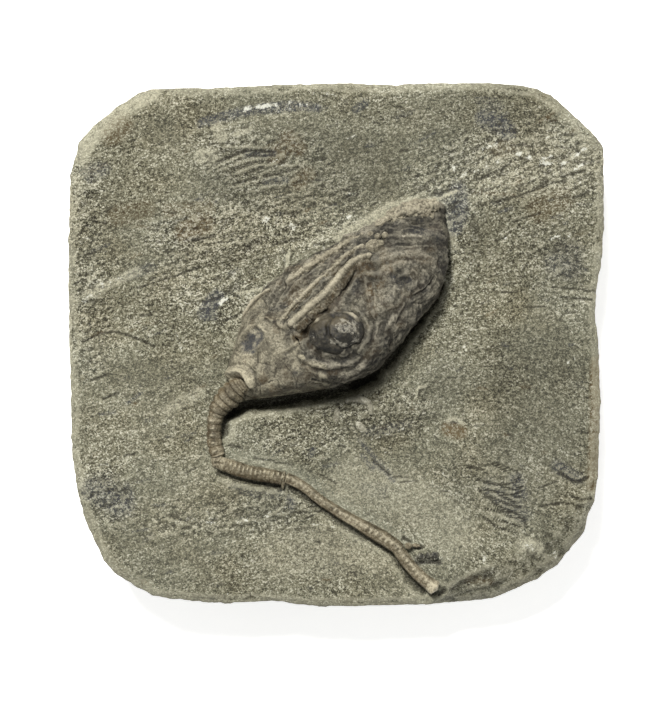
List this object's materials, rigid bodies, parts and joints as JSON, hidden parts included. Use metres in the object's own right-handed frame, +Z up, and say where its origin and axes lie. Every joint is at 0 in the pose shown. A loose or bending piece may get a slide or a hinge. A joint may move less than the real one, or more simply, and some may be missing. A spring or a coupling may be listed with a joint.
{
  "type": "crinoid fossil",
  "caption": "Fossil sea lily lying on its back on a trimmed stone slab, its folded crown and jointed stem standing out of the bed; rests flat as a display piece.",
  "frame": {"origin": "middle of the slab's flat underside", "axes": "+Z up out of the fossil's side of the slab; +X to the right and +Y away from the viewer as the fossil is looked down on with its stem nearer than its crown"},
  "size_m": [0.0642, 0.0628, 0.021],
  "materials": {
    "siltstone": "matt, fine sandy grain",
    "cup_plates": "matt, slightly waxy",
    "sac_wall": "matt, wrinkled",
    "arm_plates": "matt",
    "stem_columnals": "matt, ringed",
    "snail_calcite": "half polished, glassy in places",
    "dark_mineral": "dull dark grains",
    "pale_shell": "smooth, slightly waxy"
  },
  "bodies": {
    "root": {"matrix_slab": "siltstone", "cup": "cup_plates", "anal_sac": "sac_wall", "arm_front": "arm_plates", "arm_second": "arm_plates", "arm_third": "arm_plates", "arm_left": "arm_plates", "arm_tips": "arm_plates", "fork_plate": "arm_plates", "arm_ossicle_1": "arm_plates", "arm_ossicle_2": "arm_plates", "arm_ossicle_3": "arm_plates", "arm_ossicle_4": "arm_plates", "snail_shell": "snail_calcite", "stem_upper": "stem_columnals", "stem_middle": "stem_columnals", "stem_lower": "stem_columnals", "stem_end": "stem_columnals", "nodal_collar": "stem_columnals", "loose_columnal_1": "stem_columnals", "loose_columnal_2": "stem_columnals", "cirrus_root": "stem_columnals", "cirrus_tip": "stem_columnals", "mineral_grain_1": "dark_mineral", "mineral_grain_2": "dark_mineral", "mineral_grain_3": "dark_mineral", "shell_chip_lens": "pale_shell", "shell_chip_dome": "pale_shell", "shell_chip_arc": "pale_shell"}
  },
  "joints": []
}
